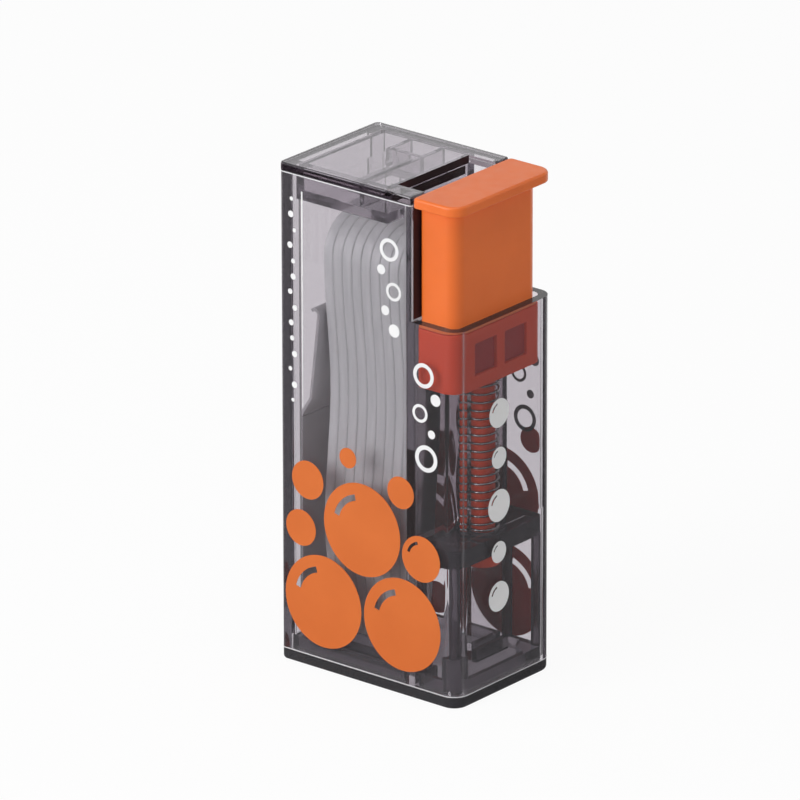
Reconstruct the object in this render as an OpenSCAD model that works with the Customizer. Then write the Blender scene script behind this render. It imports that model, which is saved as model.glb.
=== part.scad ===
// Push-button dispenser for F-shaped floss picks.
// A see-through box holds a row of picks, standing side by side behind a partition. Beside it
// an orange button slides in a well, against a coil spring, and its rod carries a small pawl
// that lifts the front pick out through the slot in the top.
// Frame: X runs across the wide face, with the button at +X. Y is the depth and Z is up.
// The origin is on the table, under the middle of the box. Sizes are in millimetres.

/* [Picks] */
// Number of picks in the row
pick_count = 10; // [4:1:12]
// Length of a pick from its point to the top of its head
pick_len = 78.5; // [70:0.5:86]
// Width of a pick's head, from the spine's edge to the ends of the arms
pick_w = 17.2; // [15:0.1:20]
// Thickness of a pick
pick_t = 1.85; // [1.5:0.05:2.2]
// Free play between neighbouring picks
pick_gap = 0.28; // [0.2:0.02:0.4]
// Width of a pick's handle
handle_w = 4.2; // [3.4:0.1:5]
// Height of a pick's head, over both arms
head_h = 19.3; // [16:0.1:22]
// Thickness of each arm
arm_t = 2.6; // [2:0.1:3.2]
// Radius of the round shoulder where the spine turns into the upper arm
crown_r = 7; // [5:0.5:9]
// How far the handle sways from side to side
sway = 0.85; // [0.4:0.05:1.2]
// Length of one whole sway of the handle
sway_len = 50; // [40:1:60]
// Length of the tapered toothpick point
point_l = 20; // [12:1:26]
// Width of the point at its very end
tip_w = 0.8; // [0.6:0.1:1.2]
// Diameter of the floss strung between the arms
floss_d = 0.5; // [0.4:0.05:0.7]
// Distance of the floss from the ends of the arms
floss_in = 1.5; // [1.3:0.1:2]
// Radius of the rounding inside the throat
throat_r = 1.5; // [1:0.1:1.8]
// Radius of the rounding where the handle meets the lower arm
root_r = 2; // [1.5:0.1:2.6]

/* [Case] */
// Wall of the shell
wall = 1.5; // [1.2:0.1:1.8]
// Wall between the row of picks and the button's well
partition_t = 1.75; // [1.5:0.05:2.2]
// Radius of the upright corners on the button side
front_r = 3; // [2.4:0.1:3.6]
// Radius of the upright corners on the other side
back_r = 1; // [0.6:0.1:1.4]
// Room behind the row for the pusher leaf
leaf_room = 5.35; // [5:0.05:7]
// Free width beside a pick in the slot, each side
slot_play = 1.25; // [1.1:0.05:1.6]
// Part of that play on the spine's side of the pick
spine_play = 0.75; // [0.5:0.05:1]
// Width of the case top left beside the slot, inside the wall, each side
shoulder = 2.25; // [1.9:0.05:2.8]
// Thickness of the upright ribs in the back corners, which hold the leaf's foot
corner_t = 1; // [0.7:0.1:1.3]
// Gap between the rail and the points of the picks
point_gap = 0.3; // [0.2:0.05:0.5]
// Headroom between the picks and the lid's collar
headroom = 3.4; // [1:0.1:6]
// Depth of the step in the partition's top edge
step_d = 0.5; // [0.3:0.1:0.8]
// Where that step ends, measured from the middle of the box
step_y = -2; // [-4:0.5:0]
// Distance by which a cut passes the partition's faces
past = 2; // [1:0.5:3]
// Visible seam at the lid and at the base
seam = 0.12; // [0.08:0.02:0.2]
// Clearance between the case and the parts that stand inside it
fit_play = 0.15; // [0.1:0.05:0.2]
// Rounding of the edges that face the seams
top_edge = 0.15; // [0.1:0.05:0.3]
// Radius of the upright corners above the well
step_r = 0.5; // [0.4:0.1:1]

/* [Base] */
// Thickness of the base plate
base_t = 2.3; // [1.8:0.1:3]
// Rounding of the base plate's lower edge
base_edge = 0.8; // [0.4:0.1:1]
// Height of the rim that locates the shell on the base
locate_h = 2.4; // [1.8:0.1:3]
// Thickness of that rim
locate_t = 1; // [0.8:0.1:1.3]
// Height of the rail that the points of the picks stand on
rail_h = 2.9; // [2.4:0.1:4]
// Width of that rail
rail_w = 5.2; // [4.6:0.1:7]
// Distance of the rail from the back wall
rail_back = 2; // [1.6:0.1:3]
// Distance of the rail from the partition
rail_gap = 0.6; // [0.4:0.1:1]
// Distance of the rail from the spine's edge of the picks
rail_in = 0.4; // [0.2:0.1:0.6]
// Height of the tall post at the front corner
post_h = 6.7; // [4:0.1:8]
// Diameter of that post
post_d = 4; // [3.4:0.1:4.4]
// Diameter of the low round pad at the other front corner
pad_d = 8; // [6:0.2:9]

/* [Lid] */
// Thickness of the lid plate
lid_t = 1.6; // [1.3:0.1:2.2]
// Rounding of the lid's upper edge
lid_edge = 0.3; // [0.1:0.05:0.4]
// Depth of the collar under the lid
collar_h = 5; // [4:0.1:6.5]
// Wall of the collar
collar_t = 1.3; // [1:0.1:1.6]
// Height of the thicker band at the collar's lower edge
band_h = 1.6; // [1:0.1:2]
// How far the band reaches inward, as a ledge
ledge_w = 5.5; // [1:0.1:6.5]
// Thickness of the ribs under the lid
rib_t = 1; // [0.8:0.1:1.3]
// Depth of the ribs under the lid
rib_h = 3.4; // [2:0.1:3.4]
// Distance of the long rib from the slot
rib_back = 7; // [6:0.1:9]
// Length of the corner rib along X
rib_side = 7.3; // [5:0.1:8]
// Distance of the corner rib from the middle of the box
rib_y = 4.3; // [3:0.1:6]
// Free play of the lid's collar in the case
lid_play = 0.3; // [0.2:0.05:0.4]

/* [Button] */
// Outside width of the button's well along X
well_w = 10.3; // [9.8:0.1:12]
// Travel of the button
travel = 20; // [14:0.5:22]
// Thickness of the button's flange
flange_t = 1.9; // [1.4:0.1:2.4]
// Rounding of the flange's edges
flange_edge = 0.5; // [0.3:0.1:0.6]
// Rounding of the flange's lower edge
under_edge = 0.25; // [0.1:0.05:0.4]
// Gap left between the flange and the well's rim when the button is pressed
rim_gap = 1.2; // [0.8:0.1:3]
// Wall of the button cap
cap_t = 1.3; // [1:0.1:1.6]
// Radius of the cap's upright corners on the outer side
cap_r = 2.6; // [2:0.1:2.8]
// Radius of the cap's upright corners beside the partition
cap_back_r = 0.8; // [0.5:0.1:1]
// Play of the cap in the well
cap_play = 0.35; // [0.3:0.05:0.6]
// Height of the slider that the cap snaps into
skirt_h = 11; // [9.5:0.5:13]
// Wall of the slider
skirt_t = 1; // [0.8:0.1:1.3]
// Floor of the slider
floor_t = 1.4; // [1.2:0.1:2]
// Radius of the slider's upright corners on the outer side
slider_r = 2.2; // [1.8:0.1:2.4]
// How far the slider stands below the rim
skirt_drop = 1.3; // [0.6:0.1:2]
// Play of the slider in the well
skirt_play = 0.3; // [0.25:0.05:0.4]
// Play between the snapped parts
snap_play = 0.1; // [0.06:0.02:0.2]
// How far the snaps stand back in their windows
snap_sink = 0.6; // [0.1:0.05:0.7]
// Width of each snap window
window_w = 6.1; // [4:0.1:7]
// Height of each snap window
window_h = 6; // [4:0.1:6.5]
// Distance between the two windows' middles
window_gap = 8.3; // [7.6:0.1:9]
// Extra thickness of the well where it guides the slider
guide_t = 0.15; // [0.1:0.05:0.3]
// Length of the thin stretch of the well, above the bridge
guide_rise = 1.6; // [1:0.1:3]

/* [Rod, spring and bridge] */
// Diameter of the rod
rod_d = 4.3; // [3.6:0.1:4.8]
// Radial clearance of the rod in the bridge
rod_play = 0.1; // [0.06:0.02:0.1]
// Diameter of the spring wire
wire_d = 0.42; // [0.35:0.01:0.5]
// Clearance between the rod and the inside of the spring
spring_play = 0.39; // [0.35:0.02:0.5]
// Gap between the spring's ends and what they bear on
coil_gap = 0.04; // [0.02:0.02:0.1]
// Number of curls in the spring
curls = 18.5; // [12:0.5:20]
// Thickness of the bridge that carries the spring
bridge_t = 3.4; // [2.6:0.1:4]
// Play of the bridge in the well
bridge_play = 0.2; // [0.15:0.05:0.3]
// Side of the bridge's square legs
leg_t = 1.3; // [1.1:0.1:1.8]
// Height of the ring round the spring's foot
seat_h = 0.5; // [0.3:0.1:0.8]
// Wall of that ring
seat_t = 0.6; // [0.5:0.1:0.8]
// Thickness of the lifting pawl
pawl_h = 2.2; // [1.8:0.1:3]
// Width of the pawl's arm
pawl_w = 3.6; // [2.8:0.1:4.4]
// Thickness of the pawl's arm
pawl_arm = 1.2; // [0.9:0.1:1.6]
// Wall of the pawl's ring round the rod
pawl_ring = 0.9; // [0.7:0.1:1]
// Gap under the rod when the button is pressed
foot_gap = 0.8; // [0.5:0.1:1.5]
// Gap between the pawl and the bridge at rest
stop_gap = 0.7; // [0.4:0.1:1]

/* [Pusher leaf] */
// Thickness of the leaf
leaf_t = 0.6; // [0.5:0.1:0.8]
// How far the leaf reaches past the spine and past the head of a pick
leaf_side = 0.55; // [-1:0.05:1]
// Depth of the leaf's tip under the tops of the picks
leaf_drop = 18.4; // [12:0.2:24]
// Height of the leaf above its bend
leaf_rise = 19.5; // [16:0.5:24]
// Height of the first stretch, which leans forward steeply
kick_rise = 3.5; // [3:0.1:6]
// How far the leaf leans forward over that stretch
kick_out = 2.2; // [0.6:0.1:2.4]
// Radius of the curl at the leaf's tip
curl_r = 0.9; // [0.7:0.1:1.2]
// Gap between the leaf and the last pick
leaf_gap = 0.35; // [0.3:0.05:0.5]
// Gap between the leaf and the back wall
leaf_play = 0.15; // [0.1:0.05:0.2]

/* [Hidden] */
$fn = 64;

// The box is as large as the picks, the leaf and the button need
pitch = pick_t + pick_gap;
row_l = pick_count * pitch;
store_y = pick_w / 2 + slot_play + shoulder;
y_max = store_y + wall;
case_w = wall + leaf_room + row_l + partition_t + well_w;
x_max = case_w / 2;
x_min = -x_max;
face_x = x_max - well_w;
store_x0 = x_min + wall;
store_x1 = face_x - partition_t;
pick_z0 = base_t + rail_h + point_gap;
pick_top = pick_z0 + pick_len;
shell_z0 = base_t + seam;
shell_top = pick_top + headroom + collar_h;
case_h = shell_top + lid_t;
rim_z = case_h - flange_t - travel - rim_gap;

// The well and what moves in it
well_x1 = x_max - wall;
guide_x1 = well_x1 - guide_t;
guide_y = store_y - guide_t;
rod_x = (face_x + guide_x1) / 2;
skirt_z0 = rim_z - skirt_drop - skirt_h;
rod_z0 = base_t + foot_gap + travel;
bridge_z = rod_z0 + pawl_h + stop_gap;
bridge_top = bridge_z + bridge_t;
guide_z = bridge_top + guide_rise;
leg_x0 = face_x + bridge_play;
leg_x1 = well_x1 - bridge_play;
leg_y = store_y - bridge_play;
locate_z = base_t + locate_h;

// The slot lets one pick through and shows the next one beside it
slot_x0 = store_x1 - 2 * pitch;
slot_y = pick_w / 2 + slot_play;
pick_y0 = spine_play - slot_y;

// The leaf
row_back = store_x1 - row_l;
leaf_w = pick_w + 2 * leaf_side;
leaf_y = pick_y0 - leaf_side;
bend_z = pick_top - leaf_drop - leaf_rise;
hinge_r = leaf_t / 2 + leaf_play;
hinge_x = store_x0 + leaf_play + hinge_r;
tip_x = row_back - leaf_gap - leaf_t / 2;

// The spring
coil_r = rod_d / 2 + spring_play + wire_d / 2;
coil_z0 = bridge_top + wire_d / 2 + coil_gap;
coil_z1 = skirt_z0 - wire_d / 2 - coil_gap;
coil_rings = 8;
coil_sides = 6;

smoke = [0.30, 0.29, 0.31, 0.45];
dark_smoke = [0.16, 0.15, 0.17, 0.8];
orange = [0.93, 0.42, 0.10];

// Plan outline with straight sides: rb rounds its two back corners, rf its two front ones
module plan(x0, x1, y, rb, rf) {
    mid = (x0 + x1) / 2;
    union() {
        translate([x0 + rb, -y]) square([x1 - rf - x0 - rb, 2 * y]);
        translate([x0, rb - y]) square([mid - x0, 2 * (y - rb)]);
        translate([mid, rf - y]) square([x1 - mid, 2 * (y - rf)]);
        for (s = [-1, 1]) {
            translate([x0 + rb, s * (y - rb)]) circle(r = rb);
            translate([x1 - rf, s * (y - rf)]) circle(r = rf);
        }
    }
}

// Prism over a plan outline
module block(x0, x1, y, rb, rf, z0, z1) {
    translate([0, 0, z0])
        linear_extrude(height = z1 - z0) plan(x0, x1, y, rb, rf);
}

// Upright section of a plate with its lower and upper edges rounded
module soft_profile(half, z0, z1, low, high) {
    z_mid = (z0 + z1) / 2;
    union() {
        translate([low - half, z0]) square([2 * (half - low), z_mid - z0]);
        translate([high - half, z_mid]) square([2 * (half - high), z1 - z_mid]);
        translate([-half, z0 + low]) square([2 * half, z1 - z0 - low - high]);
        for (s = [-1, 1]) {
            translate([s * (half - low), z0 + low]) circle(r = low);
            translate([s * (half - high), z1 - high]) circle(r = high);
        }
    }
}

// Round corner of such a plate
module soft_corner(r, z0, z1, low, high) {
    rotate_extrude()
        intersection() {
            soft_profile(r, z0, z1, low, high);
            translate([0, z0]) square([r + 1, z1 - z0]);
        }
}

// Plate over a plan outline, with its lower and upper edges rounded
module soft_plate(x0, x1, y, rb, rf, z0, z1, low, high) {
    mid = (x0 + x1) / 2;
    half = (x1 - x0) / 2;
    union() {
        translate([x1 - rf, 0, 0])
            rotate([90, 0, -90])
                linear_extrude(height = x1 - rf - x0 - rb) soft_profile(y, z0, z1, low, high);
        for (side = [[-half - 1, rb], [0, rf]]) {
            translate([mid, y - side[1], 0])
                rotate([90, 0, 0])
                    linear_extrude(height = 2 * (y - side[1]))
                        intersection() {
                            soft_profile(half, z0, z1, low, high);
                            translate([side[0], z0]) square([half + 1, z1 - z0]);
                        }
        }
        for (s = [-1, 1]) {
            translate([x0 + rb, s * (y - rb), 0]) soft_corner(rb, z0, z1, low, high);
            translate([x1 - rf, s * (y - rf), 0]) soft_corner(rf, z0, z1, low, high);
        }
    }
}

// Upright opening in the partition for the pawl's arm
module pawl_window(grow) {
    translate([store_x1 - past, pawl_y0 - grow, base_t])
        cube([partition_t + 2 * past, pawl_w / 2 - pawl_y0 + 2 * grow, bridge_z - base_t]);
}

module case_shell() {
    color(smoke)
    difference() {
        union() {
            block(x_min, x_max, y_max, back_r, front_r, shell_z0, rim_z);
            block(x_min, face_x, y_max, back_r, step_r, rim_z - 1, shell_top);
        }
        block(store_x0, store_x1, store_y, 0.5, 0.5, shell_z0 - 1, locate_z + 2 * fit_play);
        block(store_x0 + corner_t, store_x1, store_y, 0.5, 0.5, shell_z0 - 1, shell_top + 1);
        translate([store_x0, leaf_y - 2 * fit_play, shell_z0 - 1])
            cube([corner_t + 1, leaf_w + 4 * fit_play, shell_top - shell_z0 + 2]);
        block(face_x, well_x1, store_y, 0.3, front_r - wall, shell_z0 - 1, guide_z);
        block(face_x, guide_x1, guide_y, 0.3, front_r - wall, guide_z - 1, rim_z + 1);
        pawl_window(0.4);
        translate([store_x1 - 0.5, -slot_y, shell_top - step_d])
            cube([partition_t + 1, slot_y + step_y, step_d + 1]);
    }
}

// Rim that stands just inside a pocket of the shell
module locating_rim(x0, x1, r) {
    inside = fit_play + locate_t;
    difference() {
        block(x0 + fit_play, x1 - fit_play, store_y - fit_play, r, r, base_t - 0.5, locate_z);
        block(x0 + inside, x1 - inside, store_y - inside, 0.4, 0.4, base_t - 1, locate_z + 1);
    }
}

module base_cover() {
    pad_x = leg_x1 - leg_t / 2;
    pad_y = leg_y - leg_t / 2;
    color(dark_smoke) {
        soft_plate(x_min, x_max, y_max, back_r, front_r, 0, base_t,
            min(base_edge, back_r), top_edge);
        difference() {
            union() {
                locating_rim(store_x0, store_x1, 0.5);
                locating_rim(face_x, well_x1, front_r - wall);
                translate([store_x0 + rail_back, pick_y0 + rail_in, base_t - 0.5])
                    cube([store_x1 - store_x0 - rail_back - rail_gap, rail_w, rail_h + 0.5]);
            }
            pawl_window(0.4);
        }
        intersection() {
            union() {
                translate([pad_x, pad_y, base_t - 0.5])
                    cylinder(d = pad_d, h = locate_h + 0.5);
                translate([pad_x, -pad_y, base_t - 0.5])
                    cylinder(d = post_d, h = post_h + 0.5);
            }
            block(face_x + fit_play, well_x1 - fit_play, store_y - fit_play,
                0.3, front_r - wall, base_t - 0.5, base_t + post_h);
        }
    }
}

// Rib under the lid
module lid_rib(x0, y0, x1, y1) {
    translate([x0, y0, shell_top - rib_h])
        cube([x1 - x0, y1 - y0, rib_h + seam + 0.2]);
}

module top_lid() {
    cx0 = store_x0 + corner_t + lid_play;
    cx1 = slot_x0 - 0.1;
    cy = store_y - lid_play;
    z0 = shell_top - collar_h;
    inside = cy - collar_t;
    cross_x = slot_x0 - rib_back;
    corner_x = cross_x - rib_side;
    color(smoke) {
        difference() {
            soft_plate(x_min, face_x, y_max, back_r, step_r, shell_top + seam, case_h, top_edge, lid_edge);
            translate([slot_x0, -slot_y, shell_top - 1])
                cube([face_x - slot_x0 + 1, 2 * slot_y, lid_t + 2]);
        }
        difference() {
            block(cx0, cx1, cy, 0.5, 0.5, z0, shell_top + seam + 0.2);
            block(cx0 + collar_t, cx1 - collar_t, inside, 0.4, 0.4, z0 - 1, shell_top + seam);
        }
        difference() {
            block(cx0 + 0.2, cx1 - 0.2, cy - 0.2, 0.4, 0.4, z0, z0 + band_h);
            block(cx0 + collar_t + ledge_w, cx1 - collar_t - ledge_w, inside - ledge_w,
                0.4, 0.4, z0 - 1, z0 + band_h + 1);
        }
        lid_rib(cross_x, -inside - 0.5, cross_x + rib_t, inside + 0.5);
        lid_rib(corner_x, rib_y, cross_x + 0.2, rib_y + rib_t);
        lid_rib(corner_x, rib_y, corner_x + rib_t, inside + 0.5);
    }
}

// Outline of the button cap above the slider, and of its neck inside it
module cap_body(inset, z0, z1) {
    block(face_x + cap_play + inset, guide_x1 - cap_play - inset, guide_y - cap_play - inset,
        cap_back_r, cap_r - min(inset, cap_r - cap_back_r), z0, z1);
}

module skirt_body(inset, z0, z1) {
    block(face_x + skirt_play + inset, guide_x1 - skirt_play - inset, guide_y - skirt_play - inset,
        cap_back_r - min(inset, cap_back_r / 2), slider_r - min(inset, slider_r - cap_back_r), z0, z1);
}

// The four places where the cap snaps into the slider: two on each wide side
module snaps(less, x0, x1) {
    z_mid = skirt_z0 + skirt_h / 2;
    for (s = [-1, 1]) {
        translate([x0, s * window_gap / 2 - window_w / 2 + less, z_mid - window_h / 2 + less])
            cube([x1 - x0, window_w - 2 * less, window_h - 2 * less]);
    }
}

module button_cap() {
    z_neck = skirt_z0 + skirt_h + snap_play;
    z_low = skirt_z0 + floor_t + 1;
    z_top = case_h - flange_t;
    neck = skirt_t + snap_play + skirt_play - cap_play;
    hollow = neck + cap_t;
    color(orange) {
        soft_plate(face_x + skirt_play, x_max, y_max, 0.8, front_r, z_top, case_h,
            under_edge, flange_edge);
        difference() {
            union() {
                cap_body(0, z_neck, z_top + 0.3);
                cap_body(neck, z_low, z_neck + 0.3);
                snaps(snap_play, face_x + skirt_play + snap_sink, face_x + cap_play + hollow);
                snaps(snap_play, guide_x1 - cap_play - hollow, guide_x1 - skirt_play - snap_sink);
            }
            cap_body(hollow, z_low - 1, z_top - 0.2);
        }
    }
}

module button_slider() {
    color(orange) {
        difference() {
            skirt_body(0, skirt_z0, skirt_z0 + skirt_h);
            skirt_body(skirt_t, skirt_z0 + floor_t, skirt_z0 + skirt_h + 1);
            snaps(0, face_x, guide_x1);
        }
        translate([rod_x, 0, rod_z0])
            cylinder(d = rod_d, h = skirt_z0 + floor_t / 2 - rod_z0);
    }
}

module lift_pawl() {
    ring_r = rod_d / 2 + pawl_ring;
    nose_x = store_x1 + 0.2;
    color(orange)
    difference() {
        union() {
            translate([rod_x, 0, rod_z0]) cylinder(r = ring_r, h = pawl_h);
            translate([nose_x + pawl_arm / 2, -pawl_w / 2, rod_z0])
                cube([rod_x - nose_x - pawl_arm / 2, pawl_w, pawl_arm]);
            translate([nose_x, pawl_y0, rod_z0])
                cube([pawl_arm, pawl_w / 2 - pawl_y0, pawl_h]);
        }
        translate([rod_x, 0, rod_z0 - 1]) cylinder(r = rod_d / 2 + 0.02, h = pawl_h + 2);
    }
}

// Middle of the spring wire, n turns up from its foot
function coil_at(n) = [
    rod_x + coil_r * cos(360 * n),
    coil_r * sin(360 * n),
    coil_z0 + (coil_z1 - coil_z0) * n / curls
];

// Ring of points round the wire at turn n
function coil_ring(n) =
    let (rise = (coil_z1 - coil_z0) / curls,
        tangent = [-sin(360 * n) * 2 * PI * coil_r, cos(360 * n) * 2 * PI * coil_r, rise],
        t = tangent / norm(tangent),
        out = [cos(360 * n), sin(360 * n), 0],
        up = cross(t, out))
    [for (k = [0:coil_sides - 1])
        coil_at(n) + wire_d / 2 * (cos(360 * k / coil_sides) * out + sin(360 * k / coil_sides) * up)];

coil_count = ceil(curls * coil_rings);
coil_points = [for (i = [0:coil_count]) each coil_ring(min(i / coil_rings, curls))];
coil_faces = concat(
    [[for (k = [0:coil_sides - 1]) k]],
    [for (i = [0:coil_count - 1]) for (k = [0:coil_sides - 1])
        let (a = i * coil_sides + k, b = i * coil_sides + (k + 1) % coil_sides)
        each [[a, a + coil_sides, b + coil_sides], [a, b + coil_sides, b]]],
    [[for (k = [coil_sides - 1:-1:0]) coil_count * coil_sides + k]]
);

// Least gap between neighbouring curls, measured on the points of the first three curls
coil_near = [for (i = [0:coil_rings * coil_sides - 1])
    for (j = [(coil_rings - 1) * coil_sides:(coil_rings + 2) * coil_sides])
        norm(coil_points[i] - coil_points[i + j])];

module return_spring() {
    echo("least gap between the spring's curls, mm", min(coil_near));
    color("dimgray") polyhedron(points = coil_points, faces = coil_faces);
}

module spring_bridge() {
    color(dark_smoke)
    difference() {
        union() {
            block(leg_x0, leg_x1, leg_y, 0.4, front_r - wall, bridge_z, bridge_top);
            translate([rod_x, 0, bridge_top - 0.2])
                cylinder(r = coil_r + wire_d + seat_t, h = seat_h + 0.2);
            for (s = [-1, 1]) {
                for (x = [leg_x0, leg_x1 - leg_t]) {
                    tall = s < 0 && x > rod_x;
                    z0 = tall ? base_t + post_h : locate_z;
                    y0 = s > 0 ? leg_y - leg_t : -leg_y;
                    inset = x > rod_x ? 0.3 : 0.1;
                    translate([x > rod_x ? x - inset : x + inset, y0 - s * inset, z0])
                        cube([leg_t, leg_t, bridge_z - z0 + 0.2]);
                }
            }
        }
        translate([rod_x, 0, bridge_z - 1])
            cylinder(r = rod_d / 2 + rod_play, h = bridge_t + seat_h + 2);
        translate([rod_x, 0, bridge_top])
            cylinder(r = coil_r + wire_d, h = seat_h + 1);
    }
}

module leaf_clip() {
    top = bend_z - hinge_r - 0.1;
    color(dark_smoke)
        translate([hinge_x - leaf_t / 2, leaf_y, locate_z])
            cube([leaf_t, leaf_w, top - locate_z]);
}

// Strip of an even thickness along a row of points
function strip(p, t) =
    let (n = len(p) - 1,
        side = [for (i = [0:n])
            let (d = p[min(i + 1, n)] - p[max(i - 1, 0)])
            t / 2 * [-d[1], d[0]] / norm(d)])
    concat([for (i = [0:n]) p[i] + side[i]], [for (i = [n:-1:0]) p[i] - side[i]]);

module pusher_leaf() {
    tip_z = bend_z + leaf_rise;
    route = concat(
        [[hinge_x, bend_z], [hinge_x + kick_out, bend_z + kick_rise], [tip_x, tip_z]],
        [for (a = [20:20:140]) [tip_x + curl_r * (cos(a) - 1), tip_z + curl_r * sin(a)]]
    );
    color(dark_smoke)
    translate([0, leaf_y + leaf_w, 0])
        rotate([90, 0, 0])
            union() {
                linear_extrude(height = leaf_w) polygon(strip(route, leaf_t));
                translate([hinge_x, bend_z, 0]) cylinder(r = hinge_r, h = leaf_w);
            }
}

// Points on an arc, from angle a0 to a1 in n steps
function arc(x, y, r, a0, a1, n) =
    [for (i = [0:n]) let (a = a0 + (a1 - a0) * i / n) [x + r * cos(a), y + r * sin(a)]];

// Outline of a pick. v is the height above its point and u the distance from its near edge.
function point_w(v) = tip_w + (handle_w - tip_w) * sin(90 * min(v / point_l, 1));
function near_u(v) = sway * (1 - cos(360 * (v - pick_len + crown_r) / sway_len))
    + (handle_w - point_w(v)) / 2;
function far_u(v) = near_u(v) + point_w(v);

// The pawl reaches from the rod to the near side of the pick's point
pawl_y0 = pick_y0 + near_u(0) - tip_w;

head_v = pick_len - head_h;
spine_u = handle_w + 0.2;
arm_r = arm_t / 2;
edge_n = 16;
crown_n = 9;
edge_top = pick_len - crown_r;
root_v = head_v - root_r;
pick_outline = concat(
    [for (i = [0:edge_n]) let (v = edge_top * i / edge_n) [near_u(v), v]],
    arc(crown_r, edge_top, crown_r, 180 - 90 / crown_n, 90, crown_n - 1),
    arc(pick_w - arm_r, pick_len - arm_r, arm_r, 90, -90, 6),
    arc(spine_u + throat_r, pick_len - arm_t - throat_r, throat_r, 90, 180, 4),
    arc(spine_u + throat_r, head_v + arm_t + throat_r, throat_r, 180, 270, 4),
    arc(pick_w - arm_r, head_v + arm_r, arm_r, 90, -90, 6),
    arc(far_u(root_v) + root_r, root_v, root_r, 90, 180, 4),
    [for (i = [edge_n - 1:-1:0]) let (v = root_v * i / edge_n) [far_u(v), v]]
);

// Near face of pick i along X: pick 0 is the one beside the partition
function pick_x(i) = store_x1 - i * pitch - pitch;

module pick(i) {
    color("whitesmoke")
    if (i < pick_count)
        translate([pick_x(i), pick_y0, pick_z0])
            rotate([90, 0, 90])
                linear_extrude(height = pick_t) polygon(pick_outline);
}

module floss(i) {
    color("white")
    if (i < pick_count)
        translate([pick_x(i) + pick_t / 2, pick_y0 + pick_w - floss_in, pick_z0 + head_v + arm_t])
            cylinder(d = floss_d, h = head_h - 2 * arm_t, $fn = 24);
}

case_shell();
base_cover();
top_lid();
button_cap();
button_slider();
lift_pawl();
return_spring();
spring_bridge();
leaf_clip();
pusher_leaf();
pick(0);  // pick_01
pick(1);  // pick_02
pick(2);  // pick_03
pick(3);  // pick_04
pick(4);  // pick_05
pick(5);  // pick_06
pick(6);  // pick_07
pick(7);  // pick_08
pick(8);  // pick_09
pick(9);  // pick_10
floss(0);  // floss_01
floss(1);  // floss_02
floss(2);  // floss_03
floss(3);  // floss_04
floss(4);  // floss_05
floss(5);  // floss_06
floss(6);  // floss_07
floss(7);  // floss_08
floss(8);  // floss_09
floss(9);  // floss_10
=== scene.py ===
# %% [markdown]
# # A push-button dispenser for floss picks
# This lesson dresses a see-through box of smoky plastic. Ten white picks stand inside it, and an
# orange button at its side slides down against a spring and lifts the front pick out.
# The box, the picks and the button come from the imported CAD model, which is the fixed frame here.
# Each step softens the edges of those solids, or adds what the CAD leaves to the looks: the round
# wire of the spring, the twist of the floss, the prints, and the finish of every surface.

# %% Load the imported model
import bpy
import bmesh
import math
from mathutils import Matrix, Vector


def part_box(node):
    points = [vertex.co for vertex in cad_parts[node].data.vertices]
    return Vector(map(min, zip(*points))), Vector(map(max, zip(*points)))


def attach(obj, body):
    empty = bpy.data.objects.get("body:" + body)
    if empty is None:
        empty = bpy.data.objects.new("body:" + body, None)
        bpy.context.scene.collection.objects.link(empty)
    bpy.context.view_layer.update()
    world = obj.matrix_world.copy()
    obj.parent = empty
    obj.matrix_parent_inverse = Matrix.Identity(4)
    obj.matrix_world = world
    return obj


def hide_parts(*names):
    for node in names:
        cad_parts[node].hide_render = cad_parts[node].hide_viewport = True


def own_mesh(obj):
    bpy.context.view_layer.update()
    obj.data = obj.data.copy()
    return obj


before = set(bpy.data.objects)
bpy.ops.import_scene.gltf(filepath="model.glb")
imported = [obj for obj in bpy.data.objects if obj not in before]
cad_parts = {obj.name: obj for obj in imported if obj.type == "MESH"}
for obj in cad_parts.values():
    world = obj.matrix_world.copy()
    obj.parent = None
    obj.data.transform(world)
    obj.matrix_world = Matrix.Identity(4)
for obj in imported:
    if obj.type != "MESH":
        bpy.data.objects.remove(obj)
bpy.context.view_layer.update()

scene = bpy.context.scene
print("packed nodes:", len(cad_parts))

# %% [markdown]
# ## Lengths
# Blender counts in metres, and this object is measured in millimetres. A helper turns one into
# the other. The places that the new pieces share with the solids are read from the nodes' boxes,
# so that they follow the frame.

# %% Lengths and the places of the main parts
MM = 0.001


def mm(*values):
    """A vector given in millimetres."""
    return Vector(values) * MM


case_low, case_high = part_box("case_shell")
spring_low, spring_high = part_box("return_spring")
lid_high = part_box("top_lid")[1]
slider_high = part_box("button_slider")[1]
bridge_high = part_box("spring_bridge")[1]
print("case, mm:", [round(v / MM, 2) for v in (case_high - case_low)])

# %% [markdown]
# ## The camera
# The photograph is taken with a long lens, so upright edges stay nearly parallel. The camera
# stands to the right of the wide face, a little above it. Its turn, height and distance were
# worked out from the outline of the box, with its rounded corners, in the photograph.

# %% Place the camera
TURN = math.radians(39.34)
HEIGHT = math.radians(20.92)
ROLL = math.radians(-0.10)
DISTANCE = 1.9223
AIM = mm(0, 0, 47)
OFF_CENTRE = (2.99 * MM, -2.82 * MM)
FOCAL_PIXELS = 10895
PICTURE_PIXELS = 800
SENSOR_MM = 36

right = Vector((math.cos(TURN), math.sin(TURN), 0))
back = Vector((
    math.sin(TURN) * math.cos(HEIGHT), -math.cos(TURN) * math.cos(HEIGHT), math.sin(HEIGHT),
))
up = back.cross(right)
spot = AIM - OFF_CENTRE[0] * right - OFF_CENTRE[1] * up + DISTANCE * back

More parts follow.
